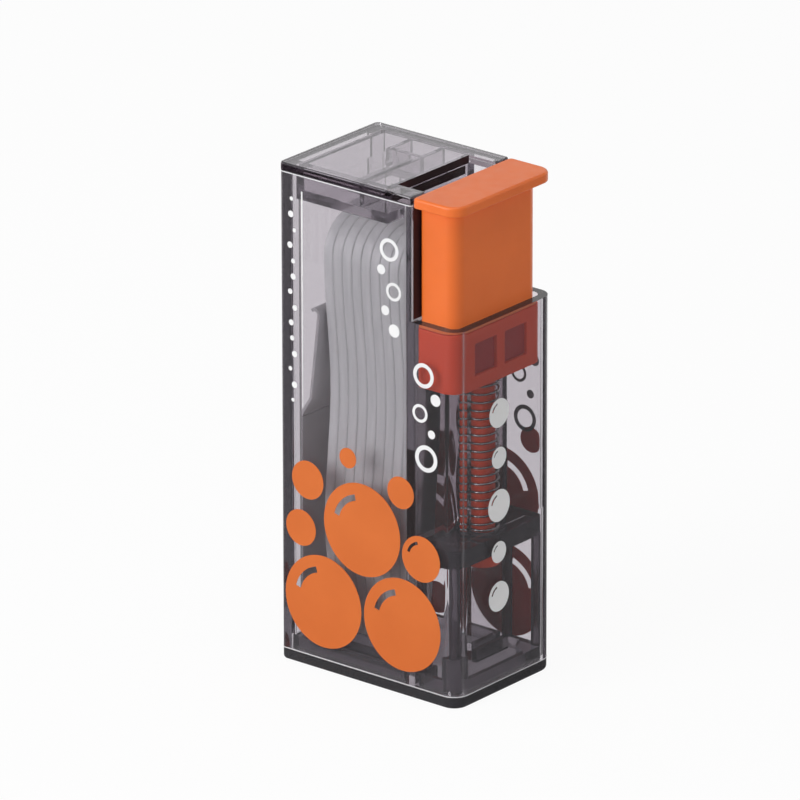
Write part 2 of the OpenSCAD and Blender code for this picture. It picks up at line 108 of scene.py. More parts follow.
camera_data = bpy.data.cameras.new("camera")
camera_data.sensor_width = SENSOR_MM
camera_data.lens = FOCAL_PIXELS / PICTURE_PIXELS * SENSOR_MM
camera = bpy.data.objects.new("camera", camera_data)
axes = Matrix((right, up, back)).transposed()
camera.matrix_world = Matrix.Translation(spot) @ axes.to_4x4() @ Matrix.Rotation(ROLL, 4, "Z")
scene.collection.objects.link(camera)
scene.camera = camera
scene.view_settings.view_transform = "Standard"
print("camera at, mm:", [round(v / MM) for v in spot])

# %% [markdown]
# ## Light paths for clear plastic
# A look through this box crosses ten or more surfaces of plastic, so the rays are given more
# bounces than usual. Along an edge the light is mirrored many times between the two faces of a
# wall, and each time counts as a glossy bounce. Caustics are the bright spots that glass throws.
# They are slow to find and the lamps already reach the inside another way, so they are switched
# off.

# %% Ray settings
scene.cycles.max_bounces = 24
scene.cycles.transmission_bounces = 24
scene.cycles.transparent_max_bounces = 32
scene.cycles.glossy_bounces = 24
scene.cycles.caustics_refractive = False
scene.cycles.caustics_reflective = False

# %% [markdown]
# ## A small kit for materials
# A material is a tree of nodes. The same few steps come back in each: make a node, set its
# values, link it, and read a noise in the object's own coordinates. The noise gives each finish
# its small unevenness, because a moulded surface is never the same all over.

# %% Helpers for node trees


def new_material(name):
    """An empty node material and its output node."""
    made = bpy.data.materials.new(name)
    made.use_nodes = True
    made.node_tree.nodes.clear()
    return made, made.node_tree.nodes.new("ShaderNodeOutputMaterial")


def add(tree, kind, **values):
    """A node of that kind with its sockets set by name, spaces written as underscores."""
    node = tree.nodes.new("ShaderNode" + kind)
    for key, value in values.items():
        node.inputs[key.replace("_", " ")].default_value = value
    return node


def noise(tree, scale, detail=3.0, stretch=(1, 1, 1)):
    """A noise in object coordinates. A stretch below 1 draws it out along that axis."""
    place = add(tree, "TexCoord")
    fit = add(tree, "Mapping", Scale=stretch)
    grain = add(tree, "TexNoise", Scale=scale, Detail=detail)
    tree.links.new(place.outputs["Object"], fit.inputs["Vector"])
    tree.links.new(fit.outputs["Vector"], grain.inputs["Vector"])
    return grain.outputs["Fac"]


def spread(tree, source, low, high):
    """Turns the middle of a noise into values from low to high."""
    ramp = add(tree, "MapRange", From_Min=0.3, From_Max=0.7, To_Min=low, To_Max=high)
    tree.links.new(source, ramp.inputs["Value"])
    return ramp.outputs["Result"]


def two_tones(tree, source, first, second):
    """A colour that wanders from first to second with a noise."""
    ramp = tree.nodes.new("ShaderNodeValToRGB")
    ramp.color_ramp.elements[0].position = 0.35
    ramp.color_ramp.elements[0].color = (*first, 1)
    ramp.color_ramp.elements[1].position = 0.65
    ramp.color_ramp.elements[1].color = (*second, 1)
    tree.links.new(source, ramp.inputs["Fac"])
    return ramp.outputs["Color"]


def bump(tree, source, depth, strength):
    """A bump whose full depth is given in metres."""
    node = add(tree, "Bump", Strength=strength, Distance=depth)
    tree.links.new(source, node.inputs["Height"])
    return node.outputs["Normal"]


def either(tree, first, second):
    """1 where either of two switches is on."""
    node = add(tree, "Math")
    node.operation = "MAXIMUM"
    tree.links.new(first, node.inputs[0])
    tree.links.new(second, node.inputs[1])
    return node.outputs[0]


def mixed(tree, share, first, second):
    """A mix of two shaders."""
    node = add(tree, "MixShader")
    tree.links.new(share, node.inputs[0])
    tree.links.new(first, node.inputs[1])
    tree.links.new(second, node.inputs[2])
    return node.outputs[0]


# %% [markdown]
# ## Smoky clear plastic
# The case is clear plastic with a little grey dye in it. One wall dims what is behind it only
# slightly, but along an edge the light runs through centimetres of plastic, and the edge turns
# dark. A tinted surface alone can't show that, so a part of the colour sits in the volume, where
# the plastic absorbs light by the length of its path. The rest is a tint at each surface, which
# keeps the edges from going quite black. Rays that look for light, to a lamp or off a matt
# surface, pass straight through with a little loss, so that the picks inside are lit without
# waiting for caustics. A small share of matt haze stands for dust and fine scratches.

# %% Smoky plastic
DYE = (0.55, 0.52, 0.56)
PASSED_ON = (0.88, 0.87, 0.88)
PALE_HAZE = (0.75, 0.74, 0.78)
DARK_HAZE = (0.16, 0.155, 0.17)
BRIDGE_HAZE = (0.12, 0.10, 0.12)


def smoky_plastic(name, tint, density, roughness, haze, haze_tone):
    """Clear dyed plastic. Tint acts at the surfaces, and density is the dye's strength inside."""
    made, out = new_material(name)
    tree = made.node_tree
    plastic = add(tree, "BsdfPrincipled", Base_Color=(*tint, 1), IOR=1.5, Transmission_Weight=1.0)
    uneven = spread(tree, noise(tree, 260), roughness * 0.5, roughness)
    tree.links.new(uneven, plastic.inputs["Roughness"])
    tree.links.new(bump(tree, noise(tree, 70, 2), 0.00002, 0.15), plastic.inputs["Normal"])
    dull = add(tree, "BsdfDiffuse", Color=(*haze_tone, 1))
    worn = add(tree, "MixShader", Fac=haze)
    tree.links.new(plastic.outputs[0], worn.inputs[1])
    tree.links.new(dull.outputs[0], worn.inputs[2])
    passing = add(tree, "BsdfTransparent", Color=(*PASSED_ON, 1))
    path = add(tree, "LightPath")
    soft = either(tree, path.outputs["Is Shadow Ray"], path.outputs["Is Diffuse Ray"])
    tree.links.new(mixed(tree, soft, worn.outputs[0], passing.outputs[0]), out.inputs["Surface"])
    dye = add(tree, "VolumeAbsorption", Color=(*DYE, 1), Density=density)
    tree.links.new(dye.outputs[0], out.inputs["Volume"])
    return made


smoky = smoky_plastic("smoky_plastic", (0.88, 0.855, 0.88), 135, 0.02, 0.018, PALE_HAZE)
# the base and the bridge get a large share of dark haze, which makes them darker
smoky_dark = smoky_plastic("smoky_plastic_dark", (0.62, 0.58, 0.62), 450, 0.06, 0.25, DARK_HAZE)
smoky_bridge = smoky_plastic(
    "smoky_plastic_bridge", (0.45, 0.41, 0.45), 1100, 0.08, 0.3, BRIDGE_HAZE,
)

# %% [markdown]
# ## Solid plastics and inks
# The button is dyed right through and has a fine matt grain from the steel of its mould. Two
# close tones of orange wander over it, and a fine bump breaks up the sheen. The leaf, the inks
# and the matt films are made the same way, in other tones and with a grain of another depth.

# %% Solid plastics and inks
MOULD_GRAIN = 0.00001
MATT_GRAIN = 0.00003
INK_GRAIN = 0.000004


def solid_plastic(name, first, second, rough, grain_depth, sheer=0.0, gloss=0.3):
    """Opaque plastic in two close tones. Sheer lets light wander inside it."""
    made, out = new_material(name)
    tree = made.node_tree
    plastic = add(tree, "BsdfPrincipled", IOR=1.5, Subsurface_Weight=sheer)
    plastic.inputs["Specular IOR Level"].default_value = gloss
    plastic.inputs["Subsurface Radius"].default_value = (1.0, 0.9, 0.85)
    plastic.inputs["Subsurface Scale"].default_value = 0.0012
    tree.links.new(two_tones(tree, noise(tree, 90), first, second), plastic.inputs["Base Color"])
    uneven = spread(tree, noise(tree, 500), rough - 0.05, rough + 0.05)
    tree.links.new(uneven, plastic.inputs["Roughness"])
    tree.links.new(bump(tree, noise(tree, 3200, 2), grain_depth, 0.3), plastic.inputs["Normal"])
    tree.links.new(plastic.outputs[0], out.inputs["Surface"])
    return made


orange = solid_plastic(
    "orange_moulded", (0.93, 0.185, 0.024), (0.88, 0.17, 0.021), 0.38, MOULD_GRAIN, 0.08, 0.6,
)
orange_deep = solid_plastic(
    "orange_inside", (0.90, 0.078, 0.02), (0.84, 0.072, 0.018), 0.42, MOULD_GRAIN,
)
# painted shade: a darker orange for the cap's neck behind the slider's windows
orange_painted_shade = solid_plastic(
    "orange_painted_shade_in_windows", (0.50, 0.035, 0.03), (0.44, 0.03, 0.026), 0.5, MOULD_GRAIN, gloss=0.2,
)
leaf_grey = solid_plastic(
    "leaf_grey", (0.56, 0.55, 0.565), (0.50, 0.49, 0.505), 0.35, MOULD_GRAIN, 0.15, 0.5,
)
ink_orange = solid_plastic(
    "orange_ink", (0.72, 0.17, 0.032), (0.68, 0.155, 0.028), 0.5, INK_GRAIN,
)
ink_white = solid_plastic(
    "white_ink", (0.90, 0.90, 0.90), (0.85, 0.85, 0.86), 0.5, INK_GRAIN,
)
# painted shade: darker copies of the inks for their inner faces, seen from inside the case; the
# orange one is also redder
ink_shade = solid_plastic(
    "orange_ink_painted_shade", (0.90, 0.05, 0.035), (0.82, 0.045, 0.03), 0.6, INK_GRAIN, gloss=0.2,
)
white_shade = solid_plastic(
    "white_ink_painted_shade", (0.30, 0.29, 0.30), (0.26, 0.25, 0.26), 0.6, INK_GRAIN, gloss=0.2,
)
# opaque matt dark: a film on the wall above the rim, and painted shade on the slot's edge and the
# collar's end
dark_wall_and_slot_shade = solid_plastic(
    "matt_dark_wall_and_slot_shade", (0.055, 0.022, 0.026), (0.025, 0.013, 0.016), 0.6, MATT_GRAIN,
)
# painted highlight: pale film for the light caught in the joints
painted_highlight_film = solid_plastic(
    "seam_painted_highlight", (0.80, 0.80, 0.82), (0.74, 0.74, 0.76), 0.5, MOULD_GRAIN,
)

# %% [markdown]
# ## Painted shade film
# Some faces lie in shade and look darker than the wall that they belong to. A film of clear dyed
# plastic paints that shade by dimming what is behind it. It bends light by next to nothing, so it
# adds no mirror image of its own.

# %% Painted shade film


def painted_shade_sheet(name, tint):
    """See-through film that only dims what is behind it, to paint shade."""
    made, out = new_material(name)
    tree = made.node_tree
    sheet = add(tree, "BsdfPrincipled", Base_Color=(*tint, 1), IOR=1.02, Transmission_Weight=1.0)
    tree.links.new(spread(tree, noise(tree, 400), 0.03, 0.09), sheet.inputs["Roughness"])
    tree.links.new(sheet.outputs[0], out.inputs["Surface"])
    return made


painted_shade_film = painted_shade_sheet("painted_shade_sheet", (0.45, 0.40, 0.43))

# %% [markdown]
# ## Milky pick plastic
# The picks are thin and milky. Light enters one and comes out of the next, so they look pale
# grey with soft upright streaks, from the way the plastic flowed up the mould.

# %% Pick plastic, steel wire and floss


def milky_plastic(name):
    """Pale plastic that light wanders through, streaked along z."""
    made, out = new_material(name)
    tree = made.node_tree
    plastic = add(tree, "BsdfPrincipled", IOR=1.49, Subsurface_Weight=0.8)
    plastic.inputs["Subsurface Radius"].default_value = (1.0, 0.97, 1.0)
    plastic.inputs["Subsurface Scale"].default_value = 0.003
    streaks = noise(tree, 900, 2, (1, 1, 0.04))
    tone = two_tones(tree, streaks, (0.74, 0.77, 0.775), (0.82, 0.85, 0.855))
    tree.links.new(tone, plastic.inputs["Base Color"])
    tree.links.new(spread(tree, noise(tree, 300), 0.28, 0.42), plastic.inputs["Roughness"])
    tree.links.new(bump(tree, streaks, 0.00003, 0.25), plastic.inputs["Normal"])
    tree.links.new(plastic.outputs[0], out.inputs["Surface"])
    return made


def drawn_steel(name):
    """Bright wire with the fine unevenness of the die that it was drawn through."""
    made, out = new_material(name)
    tree = made.node_tree
    steel = add(tree, "BsdfPrincipled", Metallic=1.0)
    tone = two_tones(tree, noise(tree, 700), (0.27, 0.26, 0.26), (0.40, 0.385, 0.38))
    tree.links.new(tone, steel.inputs["Base Color"])
    tree.links.new(spread(tree, noise(tree, 1500), 0.16, 0.30), steel.inputs["Roughness"])
    tree.links.new(bump(tree, noise(tree, 2600, 2), 0.000006, 0.3), steel.inputs["Normal"])
    tree.links.new(steel.outputs[0], out.inputs["Surface"])
    return made


def floss_thread(name):
    """White fibres, with a fine twist that runs round the thread."""
    made, out = new_material(name)
    tree = made.node_tree
    thread = add(tree, "BsdfPrincipled", Sheen_Weight=0.3)
    fibres = noise(tree, 5200, 2, (1, 1, 0.12))
    tone = two_tones(tree, fibres, (0.78, 0.78, 0.80), (0.9, 0.9, 0.91))
    tree.links.new(tone, thread.inputs["Base Color"])
    tree.links.new(spread(tree, fibres, 0.45, 0.65), thread.inputs["Roughness"])
    tree.links.new(bump(tree, fibres, 0.00002, 0.5), thread.inputs["Normal"])
    tree.links.new(thread.outputs[0], out.inputs["Surface"])
    return made


milky = milky_plastic("milky_plastic")
steel = drawn_steel("drawn_steel")
thread = floss_thread("floss_fibres")

# %% [markdown]
# ## Softened copies of the solids
# Injection moulding rounds every edge a little, and on clear plastic those small rounds carry
# the bright lines that draw the shape. The solids come as loose triangles, so a copy is merged
# first, its flat areas are joined into whole faces, and then only the sharp edges get a bevel.
# A Weighted Normal modifier keeps the large faces flat while the small rounds shade smoothly.

# %% Helpers for pieces
MERGE_DIST = 0.002 * MM
FLAT_ANGLE = math.radians(0.8)


def new_piece(name, bm, material):
    """A finished object from a bmesh, standing at the origin."""
    mesh = bpy.data.meshes.new(name)
    bm.to_mesh(mesh)
    bm.free()
    mesh.materials.append(material)
    piece = bpy.data.objects.new(name, mesh)
    scene.collection.objects.link(piece)
    return piece


def merged(node):
    """A bmesh of a CAD node, its triangles merged and its flat areas joined."""
    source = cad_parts[node]
    bm = bmesh.new()
    bm.from_mesh(source.data)
    bm.transform(source.matrix_world)
    bmesh.ops.remove_doubles(bm, verts=bm.verts, dist=MERGE_DIST)
    bmesh.ops.dissolve_limit(bm, angle_limit=FLAT_ANGLE, verts=bm.verts, edges=bm.edges)
    return bm


def soften(bm, radius, segments, least_angle):
    """Bevels the edges of a bmesh that turn by more than least_angle."""
    least = math.radians(least_angle)
    sharp = [e for e in bm.edges if len(e.link_faces) == 2 and e.calc_face_angle(0) > least]
    bmesh.ops.bevel(
        bm, geom=sharp, offset=radius * MM, offset_type="OFFSET", affect="EDGES",
        segments=segments, profile=0.5, clamp_overlap=True, material=-1,
    )
    return len(sharp)


def smooth(piece, keep_angle=50):
    """Smooth shading with flat large faces."""
    for face in piece.data.polygons:
        face.use_smooth = True
    piece.data.set_sharp_from_angle(angle=math.radians(keep_angle))
    even = piece.modifiers.new("flat_faces", "WEIGHTED_NORMAL")
    even.keep_sharp = True
    even.weight = 90


def soft_copy(
    node, name, material, body, radius=0.15, segments=2, least_angle=35, finish=None,
):
    """A softened piece that stands for a CAD node and rides on its body."""
    bm = merged(node)
    count = soften(bm, radius, segments, least_angle)
    if finish:
        finish(bm)
    piece = new_piece(name, bm, material)
    smooth(piece)
    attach(piece, body)
    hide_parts(node)
    print(f"{name}: {count} edges softened, {len(piece.data.polygons)} faces")
    return piece


# %% [markdown]
# ## The clear case, its lid, base and bridge
# All four are the same clear plastic. The case is a tall store beside a shorter well, the base
# closes both from below, and the bridge is a small table that stands in the well and carries
# the spring. A fine line runs round the case where the two halves of its mould met. Three level
# cuts close together give it a row of points, and the middle row is pushed out by a hair.

# %% Clear pieces
PARTING_Z = 55.5 * MM
PARTING_HALF = 0.08 * MM
PARTING_OUT = 0.05 * MM
CUT_DIST = 1e-7
SAME_LEVEL = 1e-6


def parting_line(bm):
    """A hair-fine ridge round the outside, where two halves of the mould met."""
    for height in (PARTING_Z - PARTING_HALF, PARTING_Z, PARTING_Z + PARTING_HALF):
        geom = bm.verts[:] + bm.edges[:] + bm.faces[:]
        bmesh.ops.bisect_plane(
            bm, geom=geom, dist=CUT_DIST, plane_co=(0, 0, height), plane_no=(0, 0, 1),
        )
    bm.normal_update()
    level = {v for v in bm.verts if abs(v.co.z - PARTING_Z) < SAME_LEVEL}
    ring = {min(level, key=lambda v: v.co.x)}
    waiting = list(ring)
    while waiting:
        here = waiting.pop()
        for edge in here.link_edges:
            other = edge.other_vert(here)
            if other in level and other not in ring:
                ring.add(other)
                waiting.append(other)
    for v in ring:
        outward = Vector((v.normal.x, v.normal.y, 0)).normalized()
        v.co += outward * PARTING_OUT
    print("parting line goes through", len(ring), "points")


# %% [markdown]
# The edge of the slot in the lid looks nearly black, as it lies in shade. Those faces of the lid
# get a second material, a matt dark that paints the shade.

# %% The case, the lid, the base and the bridge
SLOT_X = 3.74 * MM
SLOT_REACH = 0.1 * MM
LID_PLATE = 1.6 * MM


def slot_painted_shade(bm):
    """Gives the faces of the slot's edge that look along +x the second material, a painted shade.
    """
    bm.normal_update()
    for face in bm.faces:
        middle = face.calc_center_median()
        at_slot = abs(middle.x - SLOT_X) < SLOT_REACH and middle.z > lid_high.z - LID_PLATE
        if at_slot and face.normal.x > 0.95:
            face.material_index = 1


soft_copy(
    "case_shell", "smoky_case", smoky, "root", 0.18, 3, finish=parting_line,
)
lid = soft_copy("top_lid", "smoky_lid", smoky, "lid", 0.1, 2, finish=slot_painted_shade)
# painted shade: the slot's edge faces get the matt dark
lid.data.materials.append(dark_wall_and_slot_shade)
soft_copy("base_cover", "smoky_base", smoky_dark, "root", 0.1, 2)
soft_copy("spring_bridge", "smoky_bridge", smoky_bridge, "root", 0.1, 2)

# %% [markdown]
# ## The wall behind the button, and the seams
# The wall that the button slides along is the same plastic. Above the rim an opaque, matt dark
# film covers its face, and below the rim a see-through film paints the shade that falls there. A
# second material on the face would also darken the wall from inside, where the real one mirrors.
# A thin film laid on the face doesn't. At the joints under the lid and over the base the light
# catches in the gap and shows as a pale line.
# A narrow ribbon of pale film runs round each joint as a painted highlight, and a ribbon of
# see-through film paints the dark edge of the lid.

# %% Helpers for films, in millimetres
FILM_THICK = 0.03
FILM_LIFT = 0.01
CORNER_SEGMENTS = 6


def thicken(bm, height):
    """Turns flat faces into a plate of that height above them."""
    raised = bmesh.ops.extrude_face_region(bm, geom=bm.faces[:], use_keep_orig=True)["geom"]
    raised = [g for g in raised if isinstance(g, bmesh.types.BMVert)]
    bmesh.ops.translate(bm, verts=raised, vec=(0, 0, height))
    bmesh.ops.recalc_face_normals(bm, faces=bm.faces)
    bm.normal_update()


def rectangle(bm, low, high):
    """A flat rectangle between two corners, and its four points."""
    verts = bmesh.ops.create_grid(bm, x_segments=1, y_segments=1, size=0.5)["verts"]
    bmesh.ops.scale(bm, verts=verts, vec=(high[0] - low[0], high[1] - low[1], 1))
    bmesh.ops.translate(bm, verts=verts, vec=((low[0] + high[0]) / 2, (low[1] + high[1]) / 2, 0))
    return verts


def film(name, material, body, x, half_width, low, high):
    """A thin film on a wall that faces the button, x from the middle."""
    bm = bmesh.new()
    rectangle(bm, (-half_width, low), (half_width, high))
    thicken(bm, FILM_THICK)
    stand = Matrix(((0, 0, 1, x + FILM_LIFT), (1, 0, 0, 0), (0, 1, 0, 0), (0, 0, 0, 1)))
    bm.transform(Matrix.Scale(MM, 4) @ stand)
    piece = new_piece(name, bm, material)
    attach(piece, body)


def outline(bm, x0, x1, half, radii):
    """A flat plan of the case, its corners rounded by one radius at each end."""
    rectangle(bm, (x0, -half), (x1, half))
    for way, radius in zip((-1, 1), radii):
        corners = [p for p in bm.verts if (p.co.x - (x0 + x1) / 2) * way > 0]
        bmesh.ops.bevel(
            bm, geom=corners, offset=radius, offset_type="OFFSET", affect="VERTICES",
            segments=CORNER_SEGMENTS, profile=0.5, material=-1,
        )


def ribbon(name, material, body, x1, radii, low, high, open_right):
    """A ribbon of film round the outside, from low to high. Open_right leaves out its +x side."""
    x0 = case_low.x / MM - FILM_LIFT
    bm = bmesh.new()
    outline(bm, x0, x1, case_high.y / MM + FILM_LIFT, radii)
    bmesh.ops.delete(bm, geom=bm.faces[:], context="FACES_ONLY")
    if open_right:
        slot_side = [e for e in bm.edges if all(abs(p.co.x - x1) < 0.01 for p in e.verts)]
        bmesh.ops.delete(bm, geom=slot_side, context="EDGES")
    raised = bmesh.ops.extrude_edge_only(bm, edges=bm.edges[:])["geom"]
    raised = [g for g in raised if isinstance(g, bmesh.types.BMVert)]
    bmesh.ops.translate(bm, verts=raised, vec=(0, 0, high - low))
    bmesh.ops.translate(bm, verts=bm.verts, vec=(0, 0, low))
    bmesh.ops.recalc_face_normals(bm, faces=bm.faces)
    bmesh.ops.solidify(bm, geom=bm.faces[:], thickness=-FILM_THICK)
    bmesh.ops.recalc_face_normals(bm, faces=bm.faces)
    bm.transform(Matrix.Scale(MM, 4))
    piece = new_piece(name, bm, material)
    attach(piece, body)
    print(f"{name}: {len(piece.data.polygons)} faces")


# %% Films on the wall and in the slot, in millimetres
WALL = lid_high.x / MM
WELL_RIM = 70.9
RIM_CLEAR = 0.3
BRIDGE_CLEAR = 0.4
ABOVE_HALF, ABOVE_TOP = 13.0, 92.1
BELOW_HALF = 11.9
SLOT_FACE, SLOT_HALF = 3.64, 9.0
SLOT_FILM_LOW, SLOT_FILM_HIGH = 90.7, 92.3

# an opaque dark film on the wall above the rim
film("wall_film_above", dark_wall_and_slot_shade, "root", WALL, ABOVE_HALF, WELL_RIM + RIM_CLEAR, ABOVE_TOP)
# painted shade: a see-through film dims the wall below the rim
film(
    "wall_film_below", painted_shade_film, "root", WALL, BELOW_HALF,
    bridge_high.z / MM + BRIDGE_CLEAR, WELL_RIM - RIM_CLEAR,
)
# painted shade: an opaque dark film on the end of the collar darkens the slot
film("slot_film", dark_wall_and_slot_shade, "lid", SLOT_FACE, SLOT_HALF, SLOT_FILM_LOW, SLOT_FILM_HIGH)

# %% The lid's painted dark edge and the painted pale lines at the joints, in millimetres
SEAM = 0.12
SEAM_RIBBON = 0.18
BASE_THICK = 2.3
BACK_CORNER, STEP_CORNER, FRONT_CORNER = 1.0, 0.5, 3.0
EDGE_CLEAR, EDGE_TOP = 0.26, 93.65
LID_JOINT = lid_high.z / MM - LID_PLATE / MM - SEAM / 2
BASE_JOINT = BASE_THICK + SEAM / 2

at_wall = WALL + FILM_LIFT, (BACK_CORNER, STEP_CORNER)
at_front = case_high.x / MM + FILM_LIFT, (BACK_CORNER, FRONT_CORNER)
# painted shade: a see-through film darkens the edge of the lid
ribbon("lid_edge_film", painted_shade_film, "lid", *at_wall, LID_JOINT + EDGE_CLEAR, EDGE_TOP, True)
# painted highlight: pale ribbons round the joints under the lid and over the base
for name, place, joint, open_right in (
    ("lid_seam_highlight", at_wall, LID_JOINT, True),
    ("base_seam_highlight", at_front, BASE_JOINT, False),
):
    low, high = joint - SEAM_RIBBON / 2, joint + SEAM_RIBBON / 2
    ribbon(name, painted_highlight_film, "root", *place, low, high, open_right)

# %% [markdown]
# ## The orange button
# The cap carries the flange that the finger presses. It snaps into a slider with four windows,
# and the slider's rod carries the pawl that lifts the pick. The slider and pawl are moulded in a
# deeper orange. Little light reaches the neck of the cap behind the windows, so its faces there
# get a second, darker material: a painted shade.

# %% Orange pieces
NECK_BELOW_RIM = 0.4 * MM


def shade_neck(bm):
    """Gives the cap's faces inside the slider the second material, a painted shade."""
    for face in bm.faces:
        if face.calc_center_median().z < slider_high.z - NECK_BELOW_RIM:
            face.material_index = 1


cap = soft_copy(
    "button_cap", "orange_cap", orange, "button", 0.12, 2, finish=shade_neck,
)
# painted shade: the neck of the cap gets the darker orange
cap.data.materials.append(orange_painted_shade)
soft_copy("button_slider", "orange_slider", orange_deep, "button")
soft_copy("lift_pawl", "orange_pawl", orange_deep, "button")

# %% [markdown]
# ## The return spring
# Real springs are wound from round wire, and the turns at both ends lie close together so that
# the spring stands flat. A spin with a small rise at each step winds a ring of points into a
# helix. Three spins in a row make the closed turn at the foot, the open turns, and the closed
# turn at the top.

# %% Wind the spring
WIRE = 0.42 * MM
STEPS = 30
SIDES = 10
END_TURNS = 1.25
END_RISE = 1.08 * WIRE
OPEN_TURNS = 18.0

spring_mid = (spring_low + spring_high) / 2
coil_radius = (spring_high.x - spring_low.x) / 2 - WIRE / 2
coil_axis = Vector((spring_mid.x, 0, 0))
foot = spring_low.z + WIRE / 2
coil_height = spring_high.z - WIRE / 2 - foot
open_rise = (coil_height - 2 * END_TURNS * END_RISE) / OPEN_TURNS

bm = bmesh.new()
ring = bmesh.ops.create_circle(bm, segments=SIDES, radius=WIRE / 2)["verts"]
bmesh.ops.rotate(bm, verts=ring, cent=(0, 0, 0), matrix=Matrix.Rotation(math.radians(90), 3, "X"))
bmesh.ops.translate(bm, verts=ring, vec=coil_axis + Vector((coil_radius, 0, foot)))
ends = bm.edges[:]
bmesh.ops.contextual_create(bm, geom=ends)
for turns, rise in ((END_TURNS, END_RISE), (OPEN_TURNS, open_rise), (END_TURNS, END_RISE)):
    steps = round(turns * STEPS)
    wound = bmesh.ops.spin(
        bm, geom=ends, cent=coil_axis, axis=(0, 0, 1), dvec=(0, 0, rise * turns / steps),
        angle=math.radians(360) * turns, steps=steps, use_merge=False,
    )
    ends = [g for g in wound["geom_last"] if isinstance(g, bmesh.types.BMEdge)]
bmesh.ops.contextual_create(bm, geom=ends)
bmesh.ops.recalc_face_normals(bm, faces=bm.faces)
spring = new_piece("steel_spring", bm, steel)
for face in spring.data.polygons:
    face.use_smooth = True
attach(spring, "root")
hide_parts("return_spring")
print("spring rises, mm a turn:", round(open_rise / MM, 2))

# %% [markdown]
# ## The leaf behind the picks
# A thin leaf of plastic leans on the last pick and keeps the row together. Its foot is clipped
# to the back wall, and its tip curls away from the pick so that it can't catch.

# %% Leaf and clip
soft_copy("pusher_leaf", "leaf_blade", leaf_grey, "leaf", 0.12, 2)
soft_copy("leaf_clip", "leaf_foot", leaf_grey, "root", 0.12, 2)

# %% [markdown]
# ## Ten floss picks
# Each pick is one flat moulding with rounded edges: a head with two arms, a handle that sways a
# little, and a tapered point. The floss is strung between the arms. The leaf presses the row
# together, so each pick is widened towards the one in front of it until they all but touch.

# %% Picks and floss
PICK_COUNT = 10
PICK_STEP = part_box("pick_01")[0].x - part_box("pick_02")[0].x
PICK_APART = 0.01 * MM


def close_row(bm):
    """Widens a pick towards +x, where the pick in front of it stands."""
    low = min(v.co.x for v in bm.verts)
    high = max(v.co.x for v in bm.verts)
    stretch = (PICK_STEP - PICK_APART) / (high - low)
    for v in bm.verts:
        v.co.x = low + (v.co.x - low) * stretch


for number in range(1, PICK_COUNT + 1):
    body = "front_pick" if number == 1 else "root"
    soft_copy(
        f"pick_{number:02d}", f"milky_pick_{number:02d}", milky, body, 0.3, 4, 50,
        finish=close_row if number > 1 else None,
    )
    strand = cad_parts[f"floss_{number:02d}"]
    strand.data.materials.clear()
    strand.data.materials.append(thread)
print("picks step by, mm:", round(PICK_STEP / MM, 2))

# %% [markdown]
# ## Prints
# Two inks are printed on the outside of the case: large orange bubbles below, and small white
# foam above them. The pattern is a plain one made for this lesson. An ink is a film on the
# plastic, so each bubble is a thin plate laid on the wall. It is drawn flat, as on a sheet of
# paper, with u to the right and v up, and a matrix stands the sheet on the front, back or side.
# Seen through the clear wall an ink shows its inner face. That face gets its own material, a darker
# copy of the ink that paints the shade inside the case, redder for the orange ink.

# %% Helpers for prints
INK_LIFT = 0.01
INK_THICK = 0.03
ROUND_SIDES = 72
DOT_SHARE = 0.62
BAND_SHARE = 0.75
GLINT_END = 165
GLINT_TURN = 60
RING_HOLE = 0.68
STRIPE_FOOT = 0.3

SHEETS = {
    "front": Matrix(((1, 0, 0, 0), (0, 0, -1, case_low.y / MM), (0, 1, 0, 0), (0, 0, 0, 1))),
    "back": Matrix(((-1, 0, 0, 0), (0, 0, 1, case_high.y / MM), (0, 1, 0, 0), (0, 0, 0, 1))),
    "side": Matrix(((0, 0, 1, case_high.x / MM), (1, 0, 0, 0), (0, 1, 0, 0), (0, 0, 0, 1))),
}


def dot(bm, u, v, radius):
    """A flat round dot."""
    rim = bmesh.ops.create_circle(bm, cap_ends=True, radius=radius, segments=ROUND_SIDES)["verts"]
    bmesh.ops.translate(bm, verts=rim, vec=(u, v, 0))


def arc(bm, u, v, inner, outer, start, turn):
    """A flat band round a centre: one short line, spun from start by turn degrees."""
    way = Vector((math.cos(math.radians(start)), math.sin(math.radians(start)), 0))
    line = bm.edges.new([bm.verts.new(Vector((u, v, 0)) + way * r) for r in (inner, outer)])
    steps = round(ROUND_SIDES * turn / 360)
    bmesh.ops.spin(
        bm, geom=[line], cent=(u, v, 0), axis=(0, 0, 1), dvec=(0, 0, 0),
        angle=math.radians(turn), steps=steps, use_merge=False,
    )


def bubble(bm, u, v, radius):
    """A dot in two bent bands. The inner band is open for a stretch, which leaves a dark glint."""
    dot(bm, u, v, DOT_SHARE * radius)
    arc(bm, u, v, DOT_SHARE * radius, BAND_SHARE * radius, GLINT_END, 360 - GLINT_TURN)
    arc(bm, u, v, BAND_SHARE * radius, radius, 0, 360)


def stripe(bm, u, low, high, width):
    """A thin upright line that narrows to its foot."""
    verts = rectangle(bm, (u - width / 2, low), (u + width / 2, high))
    foot_verts = [p for p in verts if p.co.y < (low + high) / 2]
    about = Matrix.Translation((-u, 0, 0))
    bmesh.ops.scale(bm, verts=foot_verts, vec=(STRIPE_FOOT, 1, 1), space=about)


